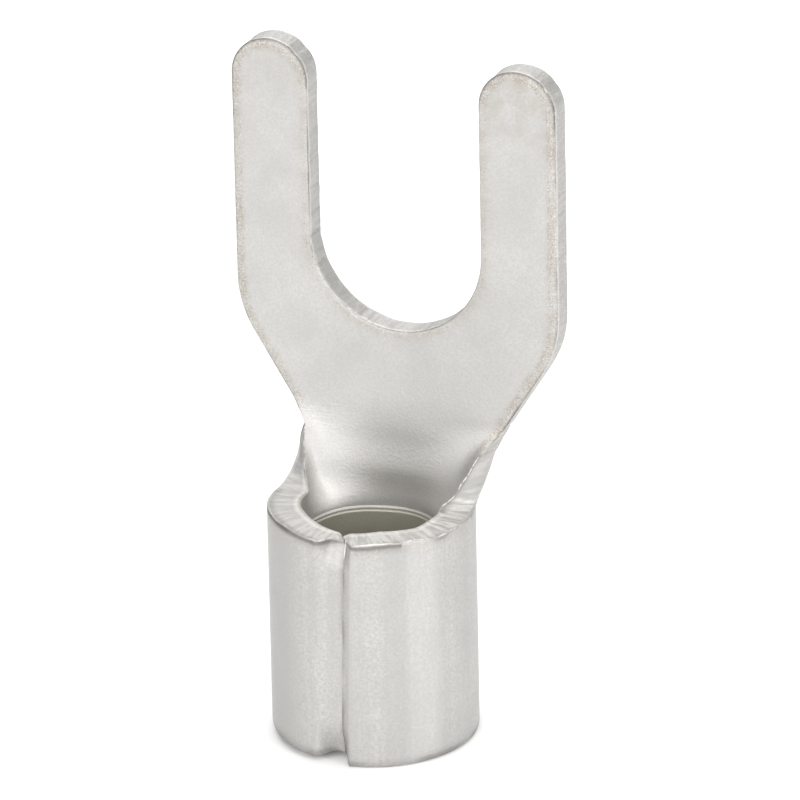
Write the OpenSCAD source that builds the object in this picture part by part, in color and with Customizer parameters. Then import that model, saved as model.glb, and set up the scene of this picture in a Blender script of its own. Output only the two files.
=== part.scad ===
// Bare fork terminal for a crimped wire, stamped from one sheet and rolled.
// Origin on the barrel's axis at its lower end. +Z runs along the barrel to
// the prong tips, +Y points to the back of the tongue, the seam is in front.
// All sizes are in millimetres.

/* [Barrel] */
// Outside diameter of the rolled barrel
barrel_d = 6.0; // [5.5:0.1:7.5]
// Thickness of the barrel's wall
wall = 1.0; // [0.7:0.05:1.2]
// Length of the barrel, from its lower end to the rim
barrel_len = 7.0; // [5.5:0.1:8.5]
// Height of the shallow ring that the forming mandrel left in the bore
ring_z = 5.88; // [4.8:0.02:6.3]
// Height of that ring's band
ring_h = 0.14; // [0.1:0.02:0.3]
// Depth of that ring into the wall
ring_depth = 0.05; // [0.03:0.01:0.12]

/* [Seam] */
// Turn of the butt seam from the front towards +X, in degrees
seam_turn = 1; // [-15:1:15]
// Gap left between the two butted flaps
seam_gap = 0.06; // [0.04:0.01:0.15]
// Radius of each flap's rolled-in outer corner
flap_round = 0.36; // [0.2:0.02:0.6]
// Depth of the notch where the flaps meet inside the bore
seam_notch = 0.16; // [0.05:0.01:0.25]

/* [Neck] */
// Width of the neck at its narrowest, measured along the sheet
neck_w = 5.74; // [5.0:0.02:6.4]
// Radius of the sheared fillet from the rim up to the neck
rim_fillet = 1.08; // [0.6:0.02:1.3]
// Straight length of the neck between its two fillets
neck_straight = 0.02; // [0.02:0.01:0.6]
// Radius of the fillet from the neck out to the flare
flare_fillet = 0.6; // [0.3:0.05:1.5]
// Share of that fillet's turn by which the sheet has become flat
flat_share = 0.4; // [0.2:0.05:0.9]

/* [Tongue] */
// Length of the terminal, from the barrel's end to the prong tips
overall_len = 20.0; // [18.5:0.1:24]
// Thickness of the pressed flat tongue
tongue_t = 0.8; // [0.6:0.05:1.0]
// Set-in of the tongue's back from the back of the barrel
tongue_set_in = 0.15; // [0:0.01:0.5]
// Width of the tongue across both prongs
tongue_w = 10.0; // [9:0.1:11.5]
// Angle of the flared edges from the terminal's axis, in degrees
flare_angle = 32; // [25:1:45]
// Radius of the convex shoulder between the flare and the prong
shoulder_r = 3.3; // [1:0.1:4]

/* [Fork slot] */
// Width of the slot for the stud
slot_w = 5.3; // [4.3:0.1:5.8]
// Depth of the slot, from the prong tips to its round bottom
slot_depth = 8.45; // [6:0.05:9.2]

/* [Hidden] */

tin = [0.86, 0.85, 0.83];

// Barrel
outer_r = barrel_d / 2;
bore_r = outer_r - wall;
mid_r = outer_r - wall / 2;

// Tongue
half_w = tongue_w / 2;
tip_r = (tongue_w - slot_w) / 4;
tip_z = overall_len - tip_r;
slot_z = overall_len - slot_depth + slot_w / 2;
tongue_back = outer_r - tongue_set_in;
tongue_mid = tongue_back - tongue_t / 2;

// Neck, from the rim upwards: rim fillet, straight, first part of the flare fillet
neck_half = neck_w / 2;
straight_z = barrel_len + rim_fillet;
flare_z = straight_z + neck_straight;
flat_turn = flare_angle * flat_share;
flat_z = flare_z + flare_fillet * sin(flat_turn);
flat_half = neck_half + flare_fillet * (1 - cos(flat_turn));

// Flare, from the end of its fillet
flare_end_z = flare_z + flare_fillet * sin(flare_angle);
flare_end_half = neck_half + flare_fillet * (1 - cos(flare_angle));

// Shoulder, an arc that touches the flare and the prong's outer side
corner_z = flare_end_z + (half_w - flare_end_half) / tan(flare_angle);
shoulder_z = corner_z + shoulder_r * tan(flare_angle / 2);

// The neck starts and ends this far inside the faces that it grows from
root_inset = 0.01;
// and this deep in the barrel's wall and in the tongue
root_depth = 0.4;

// Steps along the neck's rim fillet and along its part of the flare fillet
rim_steps = 12;
flare_steps = 3;
// Steps around a rolled corner or a shoulder, and across the neck's sheet
arc_steps = 16;
sheet_steps = 36;
// How far a cut runs past the face that it opens
overcut = 0.5;

// Share of the way from the rolled to the flat sheet, eased at both ends
function eased(t) = t * t * (3 - 2 * t);
function flatness(z) = eased(max(0, min(1, (z - barrel_len) / (flat_z - barrel_len))));
function between(a, b, share) = a + (b - a) * share;
function reversed(list) = [for (i = [len(list) - 1:-1:0]) list[i]];

// A point of the sheet at height z, u along the sheet from its middle line.
// side is 1 on the outer face and -1 on the bore's face.
function sheet_point(u, z, side) =
    let (
        share = flatness(z),
        bend = (1 - share) / mid_r,
        turn = bend * u * 180 / PI,
        middle = between(mid_r, tongue_mid, share),
        half_t = between(wall, tongue_t, share) / 2 - root_inset,
        across = bend > 0 ? sin(turn) / bend : u,
        forward = bend > 0 ? (1 - cos(turn)) / bend : 0
    )
    [across + side * half_t * sin(turn), middle - forward + side * half_t * cos(turn), z];

// Heights and half widths of the neck's sheared outline
function neck_stations() = concat(
    [[barrel_len - root_depth, neck_half + rim_fillet]],
    [for (i = [0:rim_steps])
        let (turn = 90 * i / rim_steps)
        [barrel_len + rim_fillet * (1 - cos(turn)), neck_half + rim_fillet * (1 - sin(turn))]],
    [for (i = [0:flare_steps])
        let (turn = flat_turn * i / flare_steps)
        [flare_z + flare_fillet * sin(turn), neck_half + flare_fillet * (1 - cos(turn))]],
    [[flat_z + root_depth, flat_half + root_depth * tan(flat_turn)]]
);

// One closed loop of points around the sheet's section at a station
function sheet_loop(station) =
    let (z = station[0], half = station[1] - root_inset)
    concat(
        [for (i = [0:sheet_steps]) sheet_point(half * (2 * i / sheet_steps - 1), z, 1)],
        [for (i = [0:sheet_steps]) sheet_point(half * (1 - 2 * i / sheet_steps), z, -1)]
    );

// Rolled barrel with its butt seam, bore and mandrel ring
module barrel() {
    difference() {
        linear_extrude(barrel_len) barrel_section();
        translate([0, 0, ring_z]) cylinder(r = bore_r + ring_depth, h = ring_h, $fn = 96);
    }
}

module barrel_section() {
    difference() {
        circle(outer_r, $fn = 96);
        circle(bore_r, $fn = 96);
        rotate(seam_turn) {
            translate([-seam_gap / 2, -outer_r - overcut]) square([seam_gap, wall + 2 * overcut]);
            for (side = [0, 1]) mirror([side, 0]) rolled_corner();
            polygon([[-seam_notch, -bore_r + seam_notch], [0, -bore_r - seam_notch],
                [seam_notch, -bore_r + seam_notch]]);
        }
    }
}

// What the left flap's outer corner loses where it rolls in, with the seam at -Y. The right
// flap loses its mirror image.
module rolled_corner() {
    centre_x = -seam_gap / 2 - flap_round;
    centre_y = -sqrt(pow(outer_r - flap_round, 2) - pow(centre_x, 2));
    start = atan2(centre_y, centre_x);
    reach = outer_r + overcut;
    polygon(concat(
        [[reach * cos(start), reach * sin(start)]],
        [for (i = [0:arc_steps])
            let (turn = start * (1 - i / arc_steps))
            [centre_x + flap_round * cos(turn), centre_y + flap_round * sin(turn)]],
        [[0, centre_y], [0, -reach]]
    ));
}

// Trough-shaped neck, where the sheet opens from the rolled barrel to the flat tongue
module neck() {
    loops = [for (station = neck_stations()) sheet_loop(station)];
    around = len(loops[0]);
    last = len(loops) - 1;
    sides = [for (j = [0:last - 1], i = [0:around - 1])
        let (
            a = j * around + i,
            b = j * around + (i + 1) % around
        )
        each [[a, b, b + around], [a, b + around, a + around]]];
    foot = [for (i = [0:sheet_steps - 1])
        let (a = i, b = around - 1 - i)
        each [[a, b, b - 1], [a, b - 1, a + 1]]];
    head = [for (i = [0:sheet_steps - 1])
        let (a = last * around + i, b = last * around + around - 1 - i)
        each [[a, b - 1, b], [a, a + 1, b - 1]]];
    polyhedron(points = [for (loop = loops) each loop], faces = concat(sides, foot, head));
}

// Flat tongue with its flare, shoulders, prongs and stud slot
module tongue() {
    translate([0, tongue_back, 0]) rotate([90, 0, 0]) linear_extrude(tongue_t) difference() {
        union() {
            polygon(concat(tongue_side(1), reversed(tongue_side(-1))));
            for (side = [-1, 1])
                translate([side * (half_w - tip_r), tip_z]) circle(tip_r, $fn = 96);
        }
        translate([0, slot_z]) circle(slot_w / 2, $fn = 96);
        translate([-slot_w / 2, slot_z]) square([slot_w, slot_depth]);
    }
}

// Outer edge of the tongue on one side, from the neck up to the tip's centre line
function tongue_side(side) = concat(
    [for (i = [0:arc_steps])
        let (turn = between(flat_turn, flare_angle, i / arc_steps))
        [side * (neck_half + flare_fillet * (1 - cos(turn))), flare_z + flare_fillet * sin(turn)]],
    [for (i = [0:arc_steps])
        let (turn = flare_angle * (1 - i / arc_steps))
        [side * (half_w - shoulder_r * (1 - cos(turn))), shoulder_z - shoulder_r * sin(turn)]],
    [[side * half_w, tip_z]]
);

module fork_terminal() {
    color(tin) union() {
        barrel();
        neck();
        tongue();
    }
}

fork_terminal();
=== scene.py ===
"""A bare fork terminal of tin plated copper, stamped from one sheet and rolled.

The flat blank is drawn first, with its sheared edges, and a node tree then rolls it into the
barrel, the trough-shaped neck and the flat forked tongue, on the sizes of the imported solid.
"""

import logging
import math
from dataclasses import dataclass, field, fields
from enum import Enum

import bpy
import numpy as np
from mathutils import Matrix, Vector
from mathutils.geometry import delaunay_2d_cdt


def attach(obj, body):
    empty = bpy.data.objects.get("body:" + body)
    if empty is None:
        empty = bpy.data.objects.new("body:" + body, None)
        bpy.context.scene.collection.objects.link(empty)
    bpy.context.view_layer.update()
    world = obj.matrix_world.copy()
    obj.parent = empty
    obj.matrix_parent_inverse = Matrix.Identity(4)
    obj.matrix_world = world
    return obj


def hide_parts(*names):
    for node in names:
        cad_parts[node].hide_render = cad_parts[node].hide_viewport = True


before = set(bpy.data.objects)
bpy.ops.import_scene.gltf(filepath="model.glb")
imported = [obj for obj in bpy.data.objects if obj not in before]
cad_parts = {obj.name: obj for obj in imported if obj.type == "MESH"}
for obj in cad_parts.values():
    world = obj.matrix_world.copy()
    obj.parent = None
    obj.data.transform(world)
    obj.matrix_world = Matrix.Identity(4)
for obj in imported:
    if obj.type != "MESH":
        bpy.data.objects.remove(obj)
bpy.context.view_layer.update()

LOG = logging.getLogger("fork_terminal")
MM = 0.001
NODE = "fork_terminal"
BODY = "root"


class Edge(Enum):
    """The stretches of the blank's sheared outline, each with its own edge form."""

    LOWER_END = "lower end of the barrel"
    RIGHT_FLAP = "right flap's seam edge"
    LEFT_FLAP = "left flap's seam edge"
    RIM = "barrel rim"
    NECK = "neck between rim and flare"
    FLANK = "flare, shoulder, prong side and tip"
    FORK = "inside of the fork slot"


class Face(Enum):
    """The two faces of the sheet."""

    INNER = "bore, trough and front of the tongue"
    OUTER = "outside of the barrel and back of the tongue"


def smooth_step(low: float, high: float, value: np.ndarray) -> np.ndarray:
    """Ease from 0 at low to 1 at high.

    Args:
        low: Where the step starts.
        high: Where the step ends.
        value: Numbers to ease.

    Returns:
        The eased share of each number.
    """
    share = np.clip((np.asarray(value, float) - low) / (high - low), 0.0, 1.0)
    return share * share * (3.0 - 2.0 * share)


def arc(centre: tuple[float, float], radius: float, start: float, end: float, step: float) -> np.ndarray:
    """Points along an arc.

    Args:
        centre: Centre of the arc, in mm.
        radius: Radius of the arc, in mm.
        start: First angle, in degrees.
        end: Last angle, in degrees.
        step: Longest spacing of the points, in mm.

    Returns:
        The points, both ends included.
    """
    count = max(3, int(abs(math.radians(end - start)) * radius / step) + 1)
    turn = np.radians(np.linspace(start, end, count))
    return np.stack([centre[0] + radius * np.cos(turn), centre[1] + radius * np.sin(turn)], 1)


def line(start: tuple[float, float], end: tuple[float, float], step: float) -> np.ndarray:
    """Points along a straight stretch, both ends included.

    Args:
        start: First point, in mm.
        end: Last point, in mm.
        step: Longest spacing of the points, in mm.

    Returns:
        The points.
    """
    count = max(2, int(math.dist(start, end) / step) + 1)
    share = np.linspace(0.0, 1.0, count)[:, None]
    return np.array(start) + (np.array(end) - np.array(start)) * share


# Spread of a random walk, and a number that keeps divisions sound
WALK_SPREAD = 0.5
TINY = 1e-9


def wander(count: int, reach: int, seed: int) -> np.ndarray:
    """A smooth closed random walk between about -1 and 1, for hand-worn edges.

    Args:
        count: How many values.
        reach: How many neighbours each value is smoothed over.
        seed: Seed of the draw.

    Returns:
        The values, which close on themselves.
    """
    draw = np.random.default_rng(seed).normal(size=count)
    tail = 3 * reach
    bell = np.exp(-0.5 * (np.arange(-tail, tail + 1) / reach) ** 2)
    padded = np.concatenate([draw[-tail:], draw, draw[:tail]])
    smoothed = np.convolve(padded, bell, mode="valid")
    return WALK_SPREAD * smoothed / (smoothed.std() + TINY)


@dataclass(frozen=True)
class SheetSizes:
    """Sizes of the rolled sheet, in mm and degrees. All but the seam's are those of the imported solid."""

    barrel_d: float = 6.0
    wall: float = 1.0
    barrel_len: float = 7.0
    ring_z: float = 5.88
    ring_h: float = 0.14
    seam_turn: float = 0.0
    seam_gap: float = 0.001
    groove_depth: float = 0.13
    groove_end_depth: float = 0.50
    groove_floor: float = 0.38
    groove_left: float = 0.68
    groove_right: float = 0.24
    seam_notch: float = 0.16
    neck_w: float = 5.74
    rim_fillet: float = 1.08
    neck_straight: float = 0.02
    flare_fillet: float = 0.6
    flat_share: float = 0.4
    overall_len: float = 20.0
    tongue_t: float = 0.8
    tongue_set_in: float = 0.15
    tongue_w: float = 10.0
    flare_angle: float = 32.0
    shoulder_r: float = 3.3
    slot_w: float = 5.3
    slot_depth: float = 8.45

    @property
    def mid_r(self) -> float:
        """Radius of the rolled sheet's middle."""
        return (self.barrel_d - self.wall) / 2

    @property
    def tongue_mid(self) -> float:
        """How far behind the barrel's axis the tongue's middle lies."""
        return self.barrel_d / 2 - self.tongue_set_in - self.tongue_t / 2

    @property
    def flare_z(self) -> float:
        """Height at which the neck starts to flare."""
        return self.barrel_len + self.rim_fillet + self.neck_straight

    @property
    def flare_end(self) -> tuple[float, float]:
        """Half width and height at the end of the flare's fillet."""
        turn = math.radians(self.flare_angle)
        half = self.neck_w / 2 + self.flare_fillet * (1 - math.cos(turn))
        return half, self.flare_z + self.flare_fillet * math.sin(turn)

    @property
    def flat_z(self) -> float:
        """Height above which the sheet is flat."""
        turn = math.radians(self.flare_angle * self.flat_share)
        return self.flare_z + self.flare_fillet * math.sin(turn)

    @property
    def shoulder_z(self) -> float:
        """Height of the shoulder arc's centre."""
        half, height = self.flare_end
        turn = math.radians(self.flare_angle)
        corner = height + (self.tongue_w / 2 - half) / math.tan(turn)
        return corner + self.shoulder_r * math.tan(turn / 2)

    @property
    def tip_r(self) -> float:
        """Radius of a prong's round tip."""
        return (self.tongue_w - self.slot_w) / 4

    @property
    def tip_z(self) -> float:
        """Height of the tip arcs' centres."""
        return self.overall_len - self.tip_r

    @property
    def slot_z(self) -> float:
        """Height of the slot arc's centre."""
        return self.overall_len - self.slot_depth + self.slot_w / 2

    @property
    def right_end(self) -> float:
        """Length of sheet from the middle line to the right flap's edge."""
        return math.radians(180 - self.seam_turn) * self.mid_r - self.seam_gap / 2

    @property
    def left_end(self) -> float:
        """Length of sheet from the middle line to the left flap's edge."""
        return math.radians(180 + self.seam_turn) * self.mid_r - self.seam_gap / 2

    def flatness(self, height: np.ndarray) -> np.ndarray:
        """Share of the way from the rolled to the flat sheet at a height."""
        return smooth_step(self.barrel_len, self.flat_z, height)

    def half_thickness(self, height: np.ndarray) -> np.ndarray:
        """Half the sheet's thickness at a height."""
        return (self.wall + (self.tongue_t - self.wall) * self.flatness(height)) / 2


@dataclass(frozen=True)
class NeckSide:
    """One side of the neck as it was sheared, opened and pressed back, in mm. The bowl is a share."""

    half: float
    rim_fillet: float
    flare_fillet: float
    flatten_from: float
    flatten_to: float
    bowl: float
    bowl_reach: float


LEFT_NECK = NeckSide(
    half=3.00, rim_fillet=0.84, flare_fillet=1.00,
    flatten_from=6.95, flatten_to=9.1, bowl=0.56, bowl_reach=3.83,
)
RIGHT_NECK = NeckSide(
    half=2.76, rim_fillet=0.95, flare_fillet=0.45,
    flatten_from=6.9, flatten_to=9.0, bowl=0.46, bowl_reach=3.6,
)


@dataclass(frozen=True)
class EdgeForm:
    """How a sheared edge is rounded, torn, scored and burred, in mm, how worn it is, and how much painted
    shade lies along it.
    """

    inner_w: float
    inner_d: float
    outer_w: float
    outer_d: float
    wear: float
    inner_painted_shade: float = 0.0
    outer_painted_shade: float = 0.0
    tear: float = 0.0
    score: float = 0.0
    lip: float = 0.0
    inner_burr: float = 0.0
    outer_burr: float = 0.0


EDGE_FORMS = {
    Edge.LOWER_END: EdgeForm(
        inner_w=0.05, inner_d=0.05, outer_w=0.17, outer_d=0.14, wear=0.2, outer_painted_shade=0.5,
        tear=0.006, score=0.006,
    ),
    Edge.RIGHT_FLAP: EdgeForm(
        inner_w=0.02, inner_d=0.02, outer_w=0.002, outer_d=0.002, wear=0.1, outer_painted_shade=0.75,
    ),
    Edge.LEFT_FLAP: EdgeForm(
        inner_w=0.02, inner_d=0.02, outer_w=0.002, outer_d=0.002, wear=0.1, outer_painted_shade=0.4,
    ),
    Edge.RIM: EdgeForm(
        inner_w=0.04, inner_d=0.04, outer_w=0.08, outer_d=0.05, wear=0.45, inner_painted_shade=0.3, outer_painted_shade=1.0,
        tear=0.014, score=0.030, lip=0.03, outer_burr=0.022,
    ),
    Edge.NECK: EdgeForm(
        inner_w=0.06, inner_d=0.03, outer_w=0.06, outer_d=0.05, wear=0.3, inner_painted_shade=0.9, outer_painted_shade=0.2,
        tear=0.028, score=0.030, inner_burr=0.045,
    ),
    Edge.FLANK: EdgeForm(
        inner_w=0.17, inner_d=0.06, outer_w=0.03, outer_d=0.03, wear=0.9, inner_painted_shade=0.9, outer_painted_shade=0.4,
        tear=0.006, score=0.014,
    ),
    Edge.FORK: EdgeForm(
        inner_w=0.08, inner_d=0.05, outer_w=0.07, outer_d=0.05, wear=0.7, inner_painted_shade=0.7, outer_painted_shade=0.4,
        tear=0.010, score=0.020, lip=0.012,
    ),
}
# How many points one edge form takes to run into the next
FORM_BLEND = 5


@dataclass(frozen=True)
class EdgeMark:
    """A nick or a raised burr at one place of the outline, in mm. A nick has a negative rise."""

    across: float
    height: float
    rise: float
    reach: float


EDGE_MARKS = (
    EdgeMark(3.16, 8.86, -0.07, 0.07),
    EdgeMark(3.45, 7.22, 0.05, 0.12),
    EdgeMark(3.02, 7.48, -0.05, 0.06),
    EdgeMark(-2.98, 8.30, -0.03, 0.10),
    EdgeMark(-2.66, 13.9, -0.02, 0.06),
    EdgeMark(2.66, 13.3, -0.02, 0.05),
    EdgeMark(-2.99, 19.66, -0.030, 0.16),
    EdgeMark(4.75, 19.55, -0.025, 0.14),
)

# How high the rim stands above its true line, by place across the sheet, in mm
RIM_RISE = {
    -7.86: -0.15, -7.6: -0.06, -7.2: -0.03, -5.8: 0.10, -4.6: 0.05, -4.1: 0.0,
    4.1: 0.0, 5.2: -0.06, 6.6: 0.03, 7.6: -0.05, 7.86: -0.10,
}
# Where the sheet starts to follow the leaning seam and where it does so fully, in mm from its middle line
SEAM_PULL = (5.0, 7.4)
# How far the lifts of the barrel's ends reach towards its middle, in mm
END_REACH = 1.0
# How far above the rim the flaps' forms still count, in mm
FLAP_MARGIN = 0.2
# Lengths shorter than this count as nothing, in mm
TOUCH = 1e-6
# Least share of the barrel's bend that the pressed bowl is worked out with
LEAST_BEND = 0.02

# Shares of an edge's rounding at which its section is drawn; below 0 lies the plain strip beside it
INNER_SHARES = (-0.8, 0.0, 0.35, 0.6, 0.8, 1.0)
OUTER_SHARES = (1.0, 0.7, 0.4, 0.0, -0.8)
# Depths at which the section of the cut face is drawn, as shares of the sheet's thickness
CUT_DEPTHS = (0.12, 0.3, 0.5, 0.7, 0.88)
# Width of the plain strip, in mm
STRIP_W = 0.1
# How much of its tear an edge shows where the shears entered
TEAR_ENTRY = 0.5
# Share of a score that runs through the whole cut, and the level of its walk below which it cuts in
SCORE_THROUGH = 0.6
SCORE_LEVEL = 0.5
# Powers with which a burr rises along the rounding
BURR_POWERS = {Face.INNER: 3, Face.OUTER: 2}
# The ring of points at the corner between each face and the cut
CORNER_RINGS = {Face.INNER: len(INNER_SHARES) - 1, Face.OUTER: len(INNER_SHARES) + len(CUT_DEPTHS)}


@dataclass(frozen=True)
class Walk:
    """A random walk along an edge: its smoothing and seed, its mean and swing, and its limits."""

    reach: int
    seed: int
    mean: float = 0.0
    swing: float = 1.0
    low: float = -math.inf
    high: float = math.inf

    def draw(self, count: int) -> np.ndarray:
        """Draw one value for each of count points."""
        return np.clip(self.mean + self.swing * wander(count, self.reach, self.seed), self.low, self.high)


TEAR_WALK = Walk(3, 11, mean=-0.9, high=0.0)
LIP_WALK = Walk(5, 12, mean=0.6, low=0.0, high=2.0)
BURR_WALK = Walk(2, 13, mean=0.5, low=0.0, high=1.6)
# Walk of the painted shade along the edges
PAINTED_SHADE_WALK = Walk(6, 14, mean=0.45, swing=0.8, low=0.0, high=1.0)
SCORE_WALKS = (Walk(1, 21), Walk(1, 22), Walk(1, 23))


@dataclass(frozen=True)
class PaintedShadePlaces:
    """Where painted shade lies thick along the edges, in mm, and how it lies across the cut faces, as
    shares.
    """

    rim_past: float = 6.2
    tips_above: float = 18.6
    least: float = 0.8
    rounding: tuple[float, float] = (0.35, 0.7)
    neck_entry: float = 0.8
    neck_entry_d: float = 0.2
    rim_exit: float = 0.4
    rim_exit_d: float = 0.8
    in_scores: float = 0.35
    score_from: float = 0.4
    least_score: float = 0.008
    outer_round: tuple[float, float] = (-0.1, 0.5)
    outer_strip: float = 0.3


PAINTED_SHADE = PaintedShadePlaces()


@dataclass(frozen=True)
class EdgeWalks:
    """The edge forms and their random unevenness at every point of the outline."""

    form: dict[str, np.ndarray]
    tear: np.ndarray
    lip: np.ndarray
    burr: np.ndarray
    painted_shade: np.ndarray
    scores: list[np.ndarray]


@dataclass(frozen=True)
class Ring:
    """One line of points around the edge: its face (none on the cut), inset, depth and painted shade."""

    face: Face | None
    inset: np.ndarray
    depth: np.ndarray | float
    shade_paint: np.ndarray


@dataclass(frozen=True)
class MandrelRing:
    """The two shallow steps that the forming mandrel left around the bore, in mm."""

    tilt: float = 0.004
    wave: float = 0.01
    waves: float = 2.3
    lower_step: float = 0.025
    lower_run: float = 0.025
    upper_step: float = 0.04
    upper_run: float = 0.03
    fade: tuple[float, float] = (6.45, 7.3)

    def depth(self, sizes: SheetSizes, across: np.ndarray, height: np.ndarray) -> np.ndarray:
        """Depth of the steps into the wall.

        Args:
            sizes: The sheet's sizes.
            across: Places across the sheet, in mm.
            height: Heights, in mm.

        Returns:
            The depths, in mm.
        """
        foot = sizes.ring_z - self.tilt * across + self.wave * np.sin(across * self.waves)
        head = foot + sizes.ring_h
        lower = self.lower_step * smooth_step(foot, foot + self.lower_run, height)
        upper = self.upper_step * smooth_step(head - self.upper_run, head, height)
        return (lower + upper) * (1 - smooth_step(*self.fade, height))


@dataclass
class Blank:
    """The flat blank: its outline, its two faces and its sheared edges. Lengths are in mm."""

    sizes: SheetSizes
    ring: MandrelRing = MandrelRing()
    step: float = 0.045
    grid: float = 0.15
    margin: float = 0.04
    ring_rows: tuple[float, float, float] = (0.1, 0.12, 0.022)
    band_margin: float = 0.05
    fine_grid: float = 0.1
    fine_foot: float = 0.08
    seam_columns: tuple[tuple[float, float, float], ...] = ((0.03, 0.2, 0.02), (0.2, 0.7, 0.05))
    seam_band: float = 0.72
    seam_lean: float = 0.08
    seam_slant: float = 0.23
    left_lift: float = 0.135
    left_lift_span: tuple[float, float] = (2.5, 5.2)
    seam_lift: float = 0.10
    seam_lift_span: tuple[float, float] = (0.5, 0.1)
    right_lift: float = 0.16
    right_lift_w: float = 0.2
    ridge: float = 0.018
    ridge_gap: float = 0.03
    ridge_w: float = 0.05
    groove_foot: tuple[float, float] = (0.05, 1.3)
    groove_rim: tuple[float, float] = (6.1, 6.95)
    groove_rim_share: float = 0.8
    punch_gap: float = 0.12
    punch_top: float = 7.3
    punch_fade: float = 1.4
    neck_slant: float = 0.17
    slant_foot: tuple[float, float] = (7.0, 7.5)
    slant_top: tuple[float, float] = (8.6, 9.3)
    wear_reach: float = 0.45
    points: np.ndarray | None = None
    faces: list = field(default_factory=list)
    values: dict = field(default_factory=dict)
    border: np.ndarray | None = None
    kinds: np.ndarray | None = None

    def outline(self) -> tuple[np.ndarray, np.ndarray]:
        """Draw the outline once round, with the sheet on its left.

        Returns:
            The points (across the sheet and up, in mm) and the edge that each belongs to.
        """
        s = self.sizes
        top = s.barrel_len
        right = self.upper_edge(RIGHT_NECK, s.right_end)
        left = self.upper_edge(LEFT_NECK, s.left_end)
        stretches = [
            (Edge.LOWER_END, line((-s.left_end, 0), (s.right_end, 0), self.step)),
            (Edge.RIGHT_FLAP, line((s.right_end, 0), (s.right_end, top), self.step)),
            *right,
            *((kind, (points * [-1, 1])[::-1]) for kind, points in reversed(left)),
            (Edge.LEFT_FLAP, line((-s.left_end, top), (-s.left_end, 0), self.step)),
        ]
        points = np.concatenate([stretch[:-1] for _, stretch in stretches])
        kinds = np.concatenate([[kind] * (len(stretch) - 1) for kind, stretch in stretches])
        return self.worn(points), kinds

    def upper_edge(self, neck: NeckSide, flap: float) -> list[tuple[Edge, np.ndarray]]:
        """Draw one side of the outline from the flap's upper corner to the slot's bottom.

        Args:
            neck: The neck's form on this side.
            flap: Length of sheet from the middle line to the flap's edge, in mm.

        Returns:
            The stretches in order, drawn on the right hand side.
        """
        s = self.sizes
        top = s.barrel_len
        half = s.tongue_w / 2
        slot = s.slot_w / 2
        fillet = neck.half + neck.rim_fillet
        turn = s.flare_angle
        tip = half - s.tip_r
        slope = math.tan(math.radians(turn))
        corner = s.flare_end[1] - (s.flare_end[0] - neck.half) / slope
        foot = corner - neck.flare_fillet * math.tan(math.radians(turn / 2))
        flare = arc((neck.half + neck.flare_fillet, foot), neck.flare_fillet, 180, 180 - turn, self.step)
        shoulder = arc((half - s.shoulder_r, s.shoulder_z), s.shoulder_r, -turn, 0, self.step)
        return [
            (Edge.RIM, line((flap, top), (fillet, top), self.step)),
            (Edge.NECK, arc((fillet, top + neck.rim_fillet), neck.rim_fillet, -90, -180, self.step)),
            (Edge.NECK, line((neck.half, top + neck.rim_fillet), (neck.half, foot), self.step)),
            (Edge.NECK, flare),
            (Edge.FLANK, line(tuple(flare[-1]), tuple(shoulder[0]), self.step)),
            (Edge.FLANK, shoulder),
            (Edge.FLANK, line((half, s.shoulder_z), (half, s.tip_z), self.step)),
            (Edge.FLANK, arc((tip, s.tip_z), s.tip_r, 0, 180, self.step)),
            (Edge.FORK, line((slot, s.tip_z), (slot, s.slot_z), self.step)),
            (Edge.FORK, arc((0, s.slot_z), slot, 0, -90, self.step)),
        ]

    def worn(self, points: np.ndarray) -> np.ndarray:
        """Lean the seam, lift the flaps' lower ends, wave the rim and press in the nicks.

        Args:
            points: The true outline, in mm.

        Returns:
            The outline as the shears left it.
        """
        s = self.sizes
        across, height = points.T
        on_barrel = height <= s.barrel_len + TOUCH
        result = points.copy()
        result[:, 0] += self.lean(height) * np.minimum(smooth_step(*SEAM_PULL, np.abs(across)), on_barrel)
        far, near = (s.left_end - gap for gap in self.seam_lift_span)
        lift = self.left_lift * smooth_step(*self.left_lift_span, -across)
        lift += self.seam_lift * smooth_step(far, near, -across)
        lift += self.right_lift * smooth_step(s.right_end - self.right_lift_w, s.right_end, across)
        result[:, 1] += lift * np.clip(1 - height / END_REACH, 0, 1)
        rise = np.interp(across, list(RIM_RISE), list(RIM_RISE.values()))
        result[:, 1] += rise * np.clip((height - s.barrel_len) / END_REACH + 1, 0, 1) * on_barrel
        outward = outward_normals(points)
        for mark in EDGE_MARKS:
            gap = np.hypot(across - mark.across, height - mark.height)
            result += outward * (mark.rise * np.exp(-((gap / mark.reach) ** 2)))[:, None]
        return result

    def lean(self, height: np.ndarray) -> np.ndarray:
        """How far the leaning seam lies from its mean place, along the sheet."""
        return self.seam_lean * (1 - 2 * height / self.sizes.barrel_len)

    def seam_gaps(self, across: np.ndarray, height: np.ndarray) -> tuple[np.ndarray, np.ndarray]:
        """Distances along the sheet from the flaps' leaning edges.

        Args:
            across: Places across the sheet, in mm.
            height: Heights, in mm.

        Returns:
            The distances from the left and from the right flap's edge, in mm.
        """
        s = self.sizes
        lean = self.lean(height)
        return across + s.left_end - lean, s.right_end - across + lean

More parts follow.
